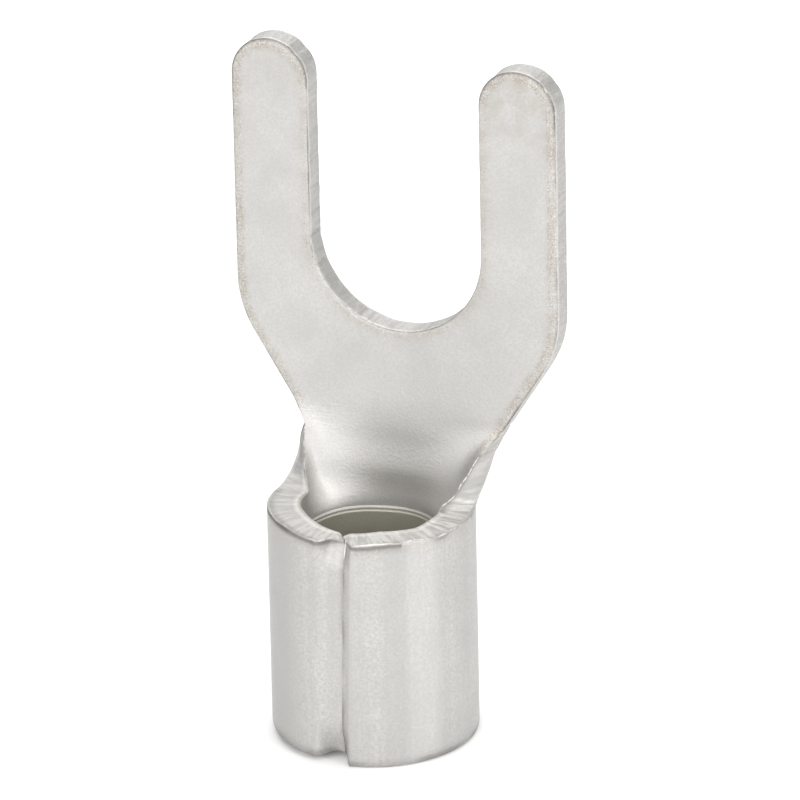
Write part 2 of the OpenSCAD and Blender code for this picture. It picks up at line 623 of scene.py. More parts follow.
    def flap_loss(self, across: np.ndarray, height: np.ndarray) -> np.ndarray:
        """How far the flaps' rolled-in corners lie below the barrel's outside, soft on the left.

        Args:
            across: Places across the sheet, in mm.
            height: Heights, in mm.

        Returns:
            The losses, in mm.
        """
        s = self.sizes
        left, right = self.seam_gaps(across, height)
        left_loss = 1 - smooth_step(s.groove_floor, s.groove_left, left)
        right_loss = 1 - smooth_step(0.0, s.groove_right, right)
        ridge = self.ridge * np.exp(-(((left - s.groove_left - self.ridge_gap) / self.ridge_w) ** 2))
        near_foot = 1 - smooth_step(*self.groove_foot, height)
        near_rim = self.groove_rim_share * smooth_step(*self.groove_rim, height)
        depth = s.groove_depth + (s.groove_end_depth - s.groove_depth) * np.maximum(near_foot, near_rim)
        loss = depth * (left_loss + right_loss) - ridge
        return np.where(height <= s.barrel_len + FLAP_MARGIN, loss, 0.0)

    def bowl(self, across: np.ndarray, height: np.ndarray) -> np.ndarray:
        """How far the forming punch pressed the wall of the trough back, more on the left.

        Args:
            across: Places across the sheet, in mm.
            height: Heights, in mm.

        Returns:
            The depths, in mm.
        """
        s = self.sizes
        on_left = across < 0
        share = np.where(on_left, LEFT_NECK.bowl, RIGHT_NECK.bowl)
        reach = np.where(on_left, LEFT_NECK.bowl_reach, RIGHT_NECK.bowl_reach)
        flat = smooth_step(LEFT_NECK.flatten_from, LEFT_NECK.flatten_to, height)
        ahead = np.clip(smooth_step(s.ring_z + self.punch_gap, self.punch_top, height) - flat, 0, 1)
        bend = np.maximum(1 - flat, LEAST_BEND) / s.mid_r
        lever = 2 * np.sin(bend * across / 2) ** 2 / bend**2 / s.mid_r
        return share * ahead * lever * (1 - smooth_step(reach - self.punch_fade, reach, np.abs(across)))

    def surface(self, face: Face, across: np.ndarray, height: np.ndarray) -> np.ndarray:
        """Offset of a face from the sheet's middle.

        Args:
            face: Which face.
            across: Places across the sheet, in mm.
            height: Heights, in mm.

        Returns:
            The offsets, in mm, positive towards the outer face.
        """
        s = self.sizes
        half = s.half_thickness(height)
        if face is Face.OUTER:
            return half - self.flap_loss(across, height)
        seam_gap = np.minimum(*self.seam_gaps(across, height))
        notch = s.seam_notch * np.clip(1.0 - seam_gap / s.seam_notch, 0, 1)
        notch = notch * (height <= s.barrel_len + FLAP_MARGIN)
        return notch - half + self.ring.depth(s, across, height) + self.bowl(across, height)

    def slant(self, outline: np.ndarray, kinds: np.ndarray) -> np.ndarray:
        """How much farther out the right neck's shear left the outer face.

        Args:
            outline: The outline, in mm.
            kinds: The edge that each point belongs to.

        Returns:
            The distances, in mm.
        """
        on_neck = (kinds == Edge.NECK) & (outline[:, 0] > 0)
        height = outline[:, 1]
        share = smooth_step(*self.slant_foot, height) * (1 - smooth_step(*self.slant_top, height))
        return self.neck_slant * share * soften(on_neck.astype(float), FORM_BLEND)

    def walks(self, outline: np.ndarray, kinds: np.ndarray) -> EdgeWalks:
        """Draw how uneven the edges are.

        Args:
            outline: The outline, in mm.
            kinds: The edge that each point belongs to.

        Returns:
            The edge forms and their unevenness.
        """
        count = len(outline)
        across, height = outline.T
        form = {}
        for item in fields(EdgeForm):
            sharp = np.array([getattr(EDGE_FORMS[kind], item.name) for kind in kinds])
            form[item.name] = soften(sharp, FORM_BLEND)
        # Painted shade along the edges, thick on the rim's left and far right, the right neck and the tips
        painted_shade = PAINTED_SHADE_WALK.draw(count)
        thick = (kinds == Edge.RIM) & ((across < 0) | (across > PAINTED_SHADE.rim_past))
        thick |= (kinds == Edge.NECK) & (across > 0)
        thick |= height > PAINTED_SHADE.tips_above
        return EdgeWalks(
            form=form,
            tear=form["tear"] * TEAR_WALK.draw(count),
            lip=form["lip"] * LIP_WALK.draw(count),
            burr=BURR_WALK.draw(count),
            painted_shade=np.where(thick, np.maximum(painted_shade, PAINTED_SHADE.least), painted_shade),
            scores=[walk.draw(count) for walk in SCORE_WALKS],
        )

    def section(self, kinds: np.ndarray, walks: EdgeWalks) -> list[Ring]:
        """Draw the edge's rounded, sheared and torn section at every point of the outline.

        Args:
            kinds: The edge that each point belongs to.
            walks: The edge forms and their unevenness.

        Returns:
            Rings from the inner face round to the outer face.
        """
        form = walks.form
        tear = walks.tear
        made = []
        for share in INNER_SHARES:
            rounded = max(share, 0.0)
            turn = math.radians(90 * rounded)
            inset = form["inner_w"] * (1 - math.sin(turn)) + max(-share, 0.0) * STRIP_W
            sunk = form["inner_d"] * (1 - math.cos(turn))
            raised = form["inner_burr"] * walks.burr * rounded ** BURR_POWERS[Face.INNER]
            # Painted shade on the inner rounding
            shade_paint = form["inner_painted_shade"] * walks.painted_shade * np.interp(share, PAINTED_SHADE.rounding, (0.0, 1.0))
            made.append(Ring(Face.INNER, inset - TEAR_ENTRY * tear * rounded, sunk - raised, shade_paint))
        first, upper, lower = walks.scores
        for depth in CUT_DEPTHS:
            score = SCORE_THROUGH * first + (1 - SCORE_THROUGH) * (upper * (1 - depth) + lower * depth)
            rough = tear * (TEAR_ENTRY + depth) + form["score"] * np.minimum(score - SCORE_LEVEL, 0.0)
            # Painted shade in the scores, at the neck's entry and at the rim's exit
            shade_paint = PAINTED_SHADE.in_scores * np.clip(-score - PAINTED_SHADE.score_from, 0, 1)
            shade_paint = shade_paint * (form["score"] > PAINTED_SHADE.least_score)
            thick = PAINTED_SHADE.neck_entry * (kinds == Edge.NECK) * (depth < PAINTED_SHADE.neck_entry_d)
            thick = thick + PAINTED_SHADE.rim_exit * (kinds == Edge.RIM) * (depth > PAINTED_SHADE.rim_exit_d)
            made.append(Ring(None, -rough, depth, shade_paint + walks.painted_shade * thick))
        for share in OUTER_SHARES:
            rounded = max(share, 0.0)
            turn = math.radians(90 * rounded)
            inset = form["outer_w"] * (1 - math.sin(turn)) + max(-share, 0.0) * STRIP_W
            sunk = form["outer_d"] * (1 - math.cos(turn))
            raised = form["outer_burr"] * walks.burr * rounded ** BURR_POWERS[Face.OUTER]
            # Painted shade on the outer rounding and a little on the strip beside it
            low, high = PAINTED_SHADE.outer_round
            thick = 1.0 if low < share < high else PAINTED_SHADE.outer_strip * (share < 0)
            inset = inset - (walks.lip + tear) * rounded
            made.append(Ring(Face.OUTER, inset, sunk - raised, form["outer_painted_shade"] * walks.painted_shade * thick))
        return made

    def rings(self, outline: np.ndarray, kinds: np.ndarray) -> list[dict]:
        """Lay the edge's section along the outline.

        Args:
            outline: The outline, in mm.
            kinds: The edge that each point belongs to.

        Returns:
            Rings of points from the inner face round to the outer face, with their values.
        """
        count = len(outline)
        outward = outward_normals(outline)
        walks = self.walks(outline, kinds)
        taper = corner_taper(outline)
        slant = self.slant(outline, kinds)
        run = np.concatenate([[0], np.cumsum(np.hypot(*np.diff(outline, axis=0).T))])
        made = []
        for ring in self.section(kinds, walks):
            through = {Face.INNER: 0.0, Face.OUTER: 1.0}.get(ring.face, ring.depth)
            place = outline + outward * (slant * through - ring.inset * taper)[:, None]
            inner = self.surface(Face.INNER, *place.T)
            outer = self.surface(Face.OUTER, *place.T)
            if ring.face is Face.INNER:
                offset = inner + ring.depth
            elif ring.face is Face.OUTER:
                offset = outer - ring.depth
            else:
                offset = inner + (outer - inner) * ring.depth
            made.append({
                "place": place,
                "offset": offset,
                "cut": np.full(count, 1.0 if ring.face is None else 0.0),
                "run": run,
                "depth": (offset - inner) / np.maximum(outer - inner, TOUCH),
                "wear": walks.form["wear"],
                "painted_shade": ring.shade_paint,
            })
        return made

    def lattice(self, face: Face, border: np.ndarray) -> np.ndarray:
        """Points inside a face, closer together where the face is shaped.

        Args:
            face: Which face.
            border: The face's border, in mm.

        Returns:
            The points that lie well inside the border.
        """
        s = self.sizes
        grid = self.grid
        columns = np.arange(-s.left_end, s.tongue_w, grid)
        points = grid_points(columns, np.arange(grid / 2, s.overall_len, grid))
        points[:, 0] += np.where((points[:, 1] / grid).astype(int) % 2, grid / 2, 0)
        if face is Face.INNER:
            below, above, row = self.ring_rows
            rows = s.ring_z + np.arange(-below, s.ring_h + above, row)
            fine = grid_points(np.arange(-s.left_end, s.right_end, self.fine_grid), rows)
            band = np.abs(points[:, 1] - rows.mean()) < np.ptp(rows) / 2 + self.band_margin
        else:
            gaps = np.concatenate([np.arange(*span) for span in self.seam_columns])
            rows = np.arange(self.fine_foot, s.barrel_len, self.fine_grid)
            fine = grid_points(np.concatenate([gaps - s.left_end, s.right_end - gaps]), rows)
            fine[:, 0] += self.lean(fine[:, 1])
            band = (np.minimum(*self.seam_gaps(*points.T)) < self.seam_band) & (points[:, 1] < s.barrel_len)
        points = np.concatenate([points[~band], fine])
        return points[inside(points, border, self.margin)]

    def build(self) -> None:
        """Fill in the blank's points, faces and values."""
        outline, kinds = self.outline()
        rings = self.rings(outline, kinds)
        count = len(outline)
        keys = ("cut", "run", "depth", "wear", "painted_shade")
        points = [upright(ring["place"], ring["offset"]) for ring in rings]
        values = {key: [ring[key] for ring in rings] for key in keys}
        faces = []
        for lower in range(0, (len(rings) - 1) * count, count):
            upper = lower + count
            for i in range(count):
                j = (i + 1) % count
                faces.append((lower + j, lower + i, upper + i, upper + j))
        start = len(rings) * count
        for face, ring_index in ((Face.INNER, 0), (Face.OUTER, len(rings) - 1)):
            border = rings[ring_index]["place"]
            inner_points = self.lattice(face, border)
            added = len(inner_points)
            names = np.concatenate([np.arange(count) + ring_index * count, np.arange(added) + start])
            for triangle in triangles(np.concatenate([border, inner_points]), count):
                corners = tuple(int(names[k]) for k in triangle)
                faces.append(corners if face is Face.INNER else corners[::-1])
            points.append(upright(inner_points, self.surface(face, *inner_points.T)))
            gap, beside = nearest(inner_points, outline)
            for key in ("cut", "run", "painted_shade"):
                values[key].append(np.zeros(added))
            values["depth"].append(np.full(added, 0.0 if face is Face.INNER else 1.0))
            values["wear"].append(rings[0]["wear"][beside] * (1 - smooth_step(0.0, self.wear_reach, gap)))
            start += added
        self.points = np.concatenate(points)
        self.faces = faces
        self.border = outline
        self.kinds = kinds
        self.values = {key: np.concatenate(parts) for key, parts in values.items()}
        across, _, height = self.points.T
        near_seam = smooth_step(*SEAM_PULL, np.abs(across)) * (height < self.sizes.barrel_len + FLAP_MARGIN)
        self.points[:, 0] -= self.seam_slant * self.values["depth"] * near_seam


def grid_points(columns: np.ndarray, rows: np.ndarray) -> np.ndarray:
    """Points at every crossing of the columns and rows."""
    return np.stack(np.meshgrid(columns, rows), -1).reshape(-1, 2)


def upright(place: np.ndarray, offset: np.ndarray) -> np.ndarray:
    """Points of the sheet in space, from their places on it and their offsets from its middle."""
    return np.column_stack([place[:, 0], offset, place[:, 1]])


# Least cosine of half a corner's turn, which bounds how far an outward direction stretches there
LEAST_COSINE = 0.5


def outward_normals(points: np.ndarray) -> np.ndarray:
    """Outward directions of a closed outline with its inside on the left.

    Args:
        points: The outline.

    Returns:
        One direction for each point, longer at a corner so that an inset keeps its width.
    """
    ahead = np.roll(points, -1, 0) - points
    ahead /= np.linalg.norm(ahead, axis=1)[:, None]
    behind = np.roll(ahead, 1, 0)
    mean = ahead + behind
    mean /= np.linalg.norm(mean, axis=1)[:, None]
    stretch = 1.0 / np.maximum((mean * ahead).sum(1), LEAST_COSINE)
    return np.stack([mean[:, 1], -mean[:, 0]], 1) * stretch[:, None]


# A corner is sharp below this cosine of its turn. Its edges keep this share of their rounding there,
# and all of it at this distance in mm
SHARP_COSINE = 0.5
CORNER_SHARE = 0.15
CORNER_REACH = 0.35


def corner_taper(points: np.ndarray) -> np.ndarray:
    """Share of its full width that an edge's rounding has near the outline's sharp corners.

    Args:
        points: The outline.

    Returns:
        A share for each point, small at a corner and 1 away from corners.
    """
    ahead = np.roll(points, -1, 0) - points
    ahead /= np.linalg.norm(ahead, axis=1)[:, None]
    sharp = points[(ahead * np.roll(ahead, 1, 0)).sum(1) < SHARP_COSINE]
    gap = np.min([np.hypot(*(points - corner).T) for corner in sharp], axis=0)
    return CORNER_SHARE + (1 - CORNER_SHARE) * smooth_step(0.0, CORNER_REACH, gap)


def soften(values: np.ndarray, reach: int) -> np.ndarray:
    """Blend closed values with their neighbours, so that one edge form runs into the next."""
    tail = 2 * reach
    weight = np.exp(-0.5 * (np.arange(-tail, tail + 1) / reach) ** 2)
    padded = np.concatenate([values[-tail:], values, values[:tail]])
    return np.convolve(padded, weight / weight.sum(), mode="valid")


# How many points are measured at a time, to save memory
CHUNK = 400


def nearest(points: np.ndarray, border: np.ndarray) -> tuple[np.ndarray, np.ndarray]:
    """Nearest stretch of a closed border to each point.

    Args:
        points: The points.
        border: The closed border.

    Returns:
        The distances, and the indices of the stretches.
    """
    along = np.roll(border, -1, 0) - border
    square = (along**2).sum(1)
    gaps = np.empty(len(points))
    indices = np.empty(len(points), int)
    for first in range(0, len(points), CHUNK):
        chunk = slice(first, first + CHUNK)
        part = points[chunk, None, :] - border[None]
        share = np.clip((part * along).sum(2) / square, 0, 1)
        square_gaps = ((part - share[..., None] * along) ** 2).sum(2)
        indices[chunk] = square_gaps.argmin(1)
        gaps[chunk] = np.sqrt(square_gaps.min(1))
    return gaps, indices


def inside(points: np.ndarray, border: np.ndarray, margin: float) -> np.ndarray:
    """Which points lie inside a closed border by more than a margin.

    Args:
        points: The points.
        border: The closed border.
        margin: The least distance to the border.

    Returns:
        True for each point that does.
    """
    x, y = points[:, 0], points[:, 1]
    within = np.zeros(len(points), bool)
    for (x0, y0), (x1, y1) in zip(border, np.roll(border, -1, 0)):
        if y0 != y1:
            crosses = (y0 > y) != (y1 > y)
            within ^= crosses & (x < (x1 - x0) * (y - y0) / (y1 - y0) + x0)
    kept = np.flatnonzero(within)
    within[kept] = nearest(points[kept], border)[0] > margin
    return within


# The triangulation's setting that keeps only what lies inside the border, and its weld in mm
INSIDE_ONLY = 1
WELD = 1e-7


def triangles(points: np.ndarray, border_count: int) -> list[tuple[int, int, int]]:
    """Fill a border with triangles through the points inside it.

    Args:
        points: The border's points in order, then the points inside.
        border_count: How many points the border has.

    Returns:
        The triangles, as indices into the points, all turning the same way.
    """
    edges = [(i, (i + 1) % border_count) for i in range(border_count)]
    made = delaunay_2d_cdt([Vector(p) for p in points], edges, [], INSIDE_ONLY, WELD)
    _, _, corner_lists, origins, _, _ = made
    source = [origin[0] for origin in origins]
    result = []
    for corners in corner_lists:
        a, b, c = (source[k] for k in corners)
        turn = np.cross(points[b] - points[a], points[c] - points[a])
        result.append((a, b, c) if turn > 0 else (a, c, b))
    return result


Socket = bpy.types.NodeSocket
Value = float | Socket
Colour = tuple[float, float, float, float]
# The sockets of a mix node that take and give colours
MIX_COLOURS = (6, 7)
MIX_RESULT = 2


class Tree:
    """A shorthand for building a node tree."""

    def __init__(self, tree: bpy.types.NodeTree) -> None:
        """Keep the tree that nodes are added to."""
        self.tree = tree

    def node(self, kind: str, inputs: dict | None = None, **settings: object) -> bpy.types.Node:
        """Add a node.

        Args:
            kind: The node's type name.
            inputs: Socket index or name to a value or to another node's socket.
            **settings: The node's own settings.

        Returns:
            The node.
        """
        made = self.tree.nodes.new(kind)
        for name, value in settings.items():
            setattr(made, name, value)
        for key, value in (inputs or {}).items():
            if isinstance(value, Socket):
                self.tree.links.new(value, made.inputs[key])
            else:
                made.inputs[key].default_value = value
        return made

    def math(self, operation: str, first: Value, second: Value = 0.0, third: Value = 0.0) -> Socket:
        """Add a math node.

        Args:
            operation: The operation's name.
            first: First operand, a number or a socket.
            second: Second operand.
            third: Third operand.

        Returns:
            The result's socket.
        """
        made = self.node("ShaderNodeMath", {0: first, 1: second, 2: third}, operation=operation)
        return made.outputs[0]

    def product(self, first: Value, *others: Value) -> Value:
        """Multiply values.

        Args:
            first: The first factor, a number or a socket.
            *others: The other factors.

        Returns:
            The product's socket.
        """
        for other in others:
            first = self.math("MULTIPLY", first, other)
        return first

    def mixed(self, share: Value, first: Value, second: Value) -> Socket:
        """Blend two values.

        Args:
            share: How much of the second, 0 to 1.
            first: The value at 0.
            second: The value at 1.

        Returns:
            The blend's socket.
        """
        return self.math("MULTIPLY_ADD", self.math("SUBTRACT", second, first), share, first)

    def attribute(self, name: str) -> Socket:
        """Read a number that the mesh carries."""
        return self.node("ShaderNodeAttribute", attribute_name=name).outputs["Fac"]

    def noise(self, place: Socket, scale: float, detail: float) -> Socket:
        """Add a noise texture.

        Args:
            place: The socket of its coordinates.
            scale: How many features it has in a unit.
            detail: How many finer layers it has.

        Returns:
            The socket of its value.
        """
        made = self.node("ShaderNodeTexNoise", {"Vector": place, "Scale": scale, "Detail": detail})
        return made.outputs[0]

    def stretched(self, place: Socket, scale: tuple[float, float, float]) -> Socket:
        """Scale coordinates by a different share along each axis."""
        made = self.node("ShaderNodeVectorMath", {0: place, 1: scale}, operation="MULTIPLY")
        return made.outputs[0]

    def blend(self, share: Socket, first: Socket | Colour, second: Socket | Colour) -> Socket:
        """Blend two colours.

        Args:
            share: The socket of the second colour's share.
            first: The first colour, or its socket.
            second: The second colour, or its socket.

        Returns:
            The socket of the blend.
        """
        inputs = {0: share, **dict(zip(MIX_COLOURS, (first, second)))}
        return self.node("ShaderNodeMix", inputs, data_type="RGBA").outputs[MIX_RESULT]

    def bump(self, value: Socket, rise: float, strength: Value, below: Socket | None) -> Socket:
        """Add a bump.

        Args:
            value: The socket of its height.
            rise: How high a height of 1 stands, in mm.
            strength: How much of it shows, a number or a socket.
            below: The socket of the bump that it lies on, or None.

        Returns:
            The socket of the normal.
        """
        inputs = {"Height": value, "Distance": rise * MM, "Strength": strength}
        if below is not None:
            inputs["Normal"] = below
        return self.node("ShaderNodeBump", inputs).outputs[0]

    def eased(self, value: Socket, low: Value, high: Value,
              out_low: Value = 0.0, out_high: Value = 1.0) -> Socket:
        """Ease a value from out_low at low to out_high at high.

        Args:
            value: The socket to read.
            low: Where the step starts.
            high: Where the step ends.
            out_low: Result below the step.
            out_high: Result above the step.

        Returns:
            The result's socket.
        """
        inputs = dict(enumerate((value, low, high, out_low, out_high)))
        return self.node("ShaderNodeMapRange", inputs, interpolation_type="SMOOTHSTEP").outputs[0]

    def finish(self, shape: Socket, material: bpy.types.Material) -> None:
        """End a geometry tree: make instances real and set the material.

        Args:
            shape: The socket of the geometry.
            material: What it is made of.
        """
        real = self.node("GeometryNodeRealizeInstances", {0: shape}).outputs[0]
        dressed = self.node("GeometryNodeSetMaterial", {"Geometry": real, "Material": material}).outputs[0]
        self.node("NodeGroupOutput", {0: dressed})


def node_group(name: str, inputs: dict[str, str]) -> bpy.types.GeometryNodeTree:
    """Start a node tree that takes geometry and named values, and gives geometry.

    Args:
        name: The tree's name.
        inputs: The socket type of each named value.

    Returns:
        The empty tree.
    """
    group = bpy.data.node_groups.new(name, "GeometryNodeTree")
    group.interface.new_socket("Geometry", in_out="INPUT", socket_type="NodeSocketGeometry")
    for label, kind in inputs.items():
        group.interface.new_socket(label, in_out="INPUT", socket_type=kind)
    group.interface.new_socket("Geometry", in_out="OUTPUT", socket_type="NodeSocketGeometry")
    return group


def evaluated(source: bpy.types.Object, group: bpy.types.GeometryNodeTree, inputs: dict) -> bpy.types.Mesh:
    """Run a node tree on an object and keep the result as a plain mesh.

    Args:
        source: The object.
        group: The node tree.
        inputs: Values of the tree's named inputs.

    Returns:
        The resulting mesh.
    """
    modifier = source.modifiers.new(group.name, "NODES")
    modifier.node_group = group
    sockets = {item.name: item.identifier for item in group.interface.items_tree if item.in_out == "INPUT"}
    for name, value in inputs.items():
        modifier[sockets[name]] = value
    graph = bpy.context.evaluated_depsgraph_get()
    mesh = bpy.data.meshes.new_from_object(source.evaluated_get(graph), depsgraph=graph)
    source.modifiers.remove(modifier)
    return mesh


@dataclass
class RollingDie:
    """The node tree that rolls the flat blank into the terminal. Lengths are in mm, least_bend is in 1/m."""

    sizes: SheetSizes
    material: bpy.types.Material
    flaps_from: float = 3.9
    flaps_to: float = 4.8
    side_reach: float = 1.5
    least_bend: float = 0.02

    def inputs(self) -> dict[str, float]:
        """Named lengths of the tree, in metres."""
        s = self.sizes
        return {
            "Rolled radius": s.mid_r * MM,
            "Tongue middle": s.tongue_mid * MM,
            "Left flatten from": LEFT_NECK.flatten_from * MM,
            "Left flatten to": LEFT_NECK.flatten_to * MM,
            "Right flatten from": RIGHT_NECK.flatten_from * MM,
            "Right flatten to": RIGHT_NECK.flatten_to * MM,
            "Flaps from": self.flaps_from * MM,
            "Flaps to": self.flaps_to * MM,
            "Flaps end": s.flat_z * MM,
        }

    def tree(self) -> bpy.types.GeometryNodeTree:
        """Build the tree.

        Returns:
            The node group, with its lengths as named inputs.
        """
        group = node_group("roll_sheet", dict.fromkeys(self.inputs(), "NodeSocketFloat"))
        tree = Tree(group)
        given = tree.node("NodeGroupInput").outputs
        blank = tree.node("GeometryNodeInputPosition").outputs[0]
        across, offset, height = tree.node("ShaderNodeSeparateXYZ", {0: blank}).outputs
        side = tree.eased(across, -self.side_reach * MM, self.side_reach * MM)
        low = tree.mixed(side, given["Left flatten from"], given["Right flatten from"])
        high = tree.mixed(side, given["Left flatten to"], given["Right flatten to"])
        flap = tree.eased(tree.math("ABSOLUTE", across), given["Flaps from"], given["Flaps to"], 1.0, 0.0)
        above = tree.eased(height, given["Right flatten from"], given["Flaps end"])
        opens = tree.math("MAXIMUM", flap, above)
        flat = tree.math("MULTIPLY", tree.eased(height, low, high), opens)
        bend = tree.math("DIVIDE", tree.math("SUBTRACT", 1.0, flat), given["Rolled radius"])
        bend = tree.math("MAXIMUM", bend, self.least_bend)
        turn = tree.math("MULTIPLY", bend, across)
        sine = tree.math("SINE", turn)
        half_sine = tree.math("SINE", tree.math("MULTIPLY", turn, 0.5))
        forward = tree.math("DIVIDE", tree.product(half_sine, half_sine, 2.0), bend)
        reach = tree.math("SUBTRACT", given["Tongue middle"], given["Rolled radius"])
        middle = tree.math("MULTIPLY_ADD", reach, flat, given["Rolled radius"])
        x = tree.math("MULTIPLY_ADD", offset, sine, tree.math("DIVIDE", sine, bend))
        back = tree.math("SUBTRACT", middle, forward)
        y = tree.math("MULTIPLY_ADD", offset, tree.math("COSINE", turn), back)
        rolled = tree.node("ShaderNodeCombineXYZ", {0: x, 1: y, 2: height}).outputs[0]
        placed = tree.node("GeometryNodeSetPosition", {"Geometry": given["Geometry"], "Position": rolled})
        tree.finish(placed.outputs[0], self.material)
        return group

    def press(self, blank: bpy.types.Object) -> bpy.types.Mesh:
        """Roll a blank.

        Args:
            blank: The flat blank's object.

        Returns:
            The rolled sheet's plain mesh.
        """
        return evaluated(blank, self.tree(), self.inputs())


def direction(azimuth: float, elevation: float) -> Vector:
    """Direction at an azimuth from the front towards +X and an elevation, in degrees."""
    a, e = math.radians(azimuth), math.radians(elevation)
    return Vector((math.sin(a) * math.cos(e), -math.cos(a) * math.cos(e), math.sin(e)))


@dataclass(frozen=True)
class PaintedLightBand:
    """An upright band on the barrel, painted highlight when its share is above 0 and painted shade below:
    its place in degrees, and its strength.
    """

    azimuth: float
    half_width: float
    share: float


# Bands of painted highlight and painted shade on the barrel, set by azimuth
PAINTED_LIGHT_BANDS = (
    PaintedLightBand(52.8, 14.0, 0.20),
    PaintedLightBand(35.3, 9.0, -0.50),
    PaintedLightBand(13.0, 12.0, -0.35),
    PaintedLightBand(82.0, 11.0, -0.30),
    PaintedLightBand(-40.0, 23.0, -0.75),
)


@dataclass(frozen=True)
class Speckle:
    """A noise on the plating.

    It has so many features in a mm and so many finer layers, shows from low to high of its
    value, and is stretched along each axis.
    """

    scale: float
    detail: float
    low: float
    high: float
    stretch: tuple[float, float, float] = (1.0, 1.0, 1.0)


SPECKLES = {
    "grain": Speckle(15.0, 3.0, 0.3, 0.7),
    "cloud": Speckle(0.8, 3.0, 0.25, 0.75),
    "peel": Speckle(10.5, 2.0, 0.46, 0.62),
    "blotch": Speckle(2.4, 4.0, 0.36, 0.66),
    "drawn": Speckle(1.0, 3.0, 0.35, 0.65, (9.0, 9.0, 0.35)),
    "band": Speckle(1.0, 1.0, 0.35, 0.65, (1.3, 1.3, 0.06)),
    "scuff": Speckle(1.0, 4.0, 0.58, 0.66, (1.1, 1.1, 16.0)),
    "speck": Speckle(18.0, 2.0, 0.745, 0.80),
    "fleck": Speckle(21.0, 2.0, 0.72, 0.77),
}
# Value that the noises vary around
NOISE_MEAN = 0.5
# Stripes that the shears drew across the cut faces, on the length and depth of the edge
STRIPES = Speckle(8.0, 4.0, 0.42, 0.58, (1.0, 0.14, 1.0))

# Heights and sideways places between which the finish changes, in mm
BARREL_TOP = (6.9, 7.2)
BORE_TOP = (5.85, 6.1)
TROUGH_FOOT = (6.05, 6.5)
# Where the painted light over the trough fades low and high, and where it is weaker on the left
TROUGH_LOW = (7.2, 7.8)
TROUGH_TOP = (9.2, 11.5)
TROUGH_LEFT = (-2.4, -0.9)
BURNISH_TOP = (8.2, 9.0)
RIM_TOP = (7.1, 7.5)
# Across the rim, where its painted light grows from left to right
RIM_SIDES = (-2.8, 2.6)
NECK_FOOT = (7.1, 7.6)
SCUFF_FOOT = (8.0, 8.4)
SCUFF_TOP = (8.9, 9.4)
SCUFF_SIDE = (-2.4, -1.2)
TIP_TARNISH = (16.8, 19.6)
TIP_SIDES = (-4.0, 4.0)
# Depths in the sheet, as shares, where its inner face ends and where the shears' bright entry lies
INNER_DEPTH = (0.02, 0.2)
ENTRY_FROM = (0.04, 0.12)
ENTRY_TO = (0.16, 0.28)


class PlateMap:
    """The sockets that the layers of a finish read: where a point lies and what speckles it has."""

    def __init__(self, tree: Tree) -> None:
        """Add the nodes to a material's tree.

        Args:
            tree: The material's tree.
        """
        self.tree = tree
        metres = tree.node("ShaderNodeTexCoord").outputs["Object"]
        in_mm = tree.node("ShaderNodeVectorMath", {0: metres, "Scale": 1 / MM}, operation="SCALE")
        self.place = in_mm.outputs[0]
        self.sideways, _, self.height = tree.node("ShaderNodeSeparateXYZ", {0: self.place}).outputs
        self.cut = tree.attribute("cut")
        self.whole = tree.math("SUBTRACT", 1.0, self.cut)
        self.depth = tree.attribute("depth")
        self.wear = tree.attribute("wear")
        # Share of painted shade along edges, creases and scores
        self.painted_shade = tree.attribute("painted_shade")
        self.inner = tree.eased(self.depth, *INNER_DEPTH, 1.0, 0.0)
        self.barrel = tree.product(tree.eased(self.height, *BARREL_TOP, 1.0, 0.0), self.depth)
        self.pressed = tree.product(tree.eased(self.height, *TROUGH_FOOT), self.inner)
        self.scraped = tree.product(
            tree.eased(self.height, *SCUFF_FOOT),
            tree.eased(self.height, *SCUFF_TOP, 1.0, 0.0),
            tree.eased(self.sideways, *SCUFF_SIDE, 1.0, 0.0),
        )
        self.noise = {name: self.speckled(self.place, speckle) for name, speckle in SPECKLES.items()}
        along = tree.node("ShaderNodeCombineXYZ", {0: tree.attribute("run"), 1: self.depth}).outputs[0]
        self.stripes = self.speckled(along, STRIPES)

    def speckled(self, place: Socket, speckle: Speckle) -> Socket:
        """Add one speckle's noise on the given coordinates."""
        return self.tree.noise(self.tree.stretched(place, speckle.stretch), speckle.scale, speckle.detail)

    def shown(self, name: str, share: float = 1.0, at_edges: float = 0.0) -> Socket:
        """How much of a speckle shows.

        Args:
            name: The speckle's name.
            share: How much shows at most.
            at_edges: How much its value rises where the edges are worn.

        Returns:
            The socket of the share.
        """
        value = self.noise[name]
        if at_edges:
            value = self.tree.math("MULTIPLY_ADD", self.wear, at_edges, value)
        return self.tree.eased(value, SPECKLES[name].low, SPECKLES[name].high, 0.0, share)


Layer = tuple[Socket, Colour]


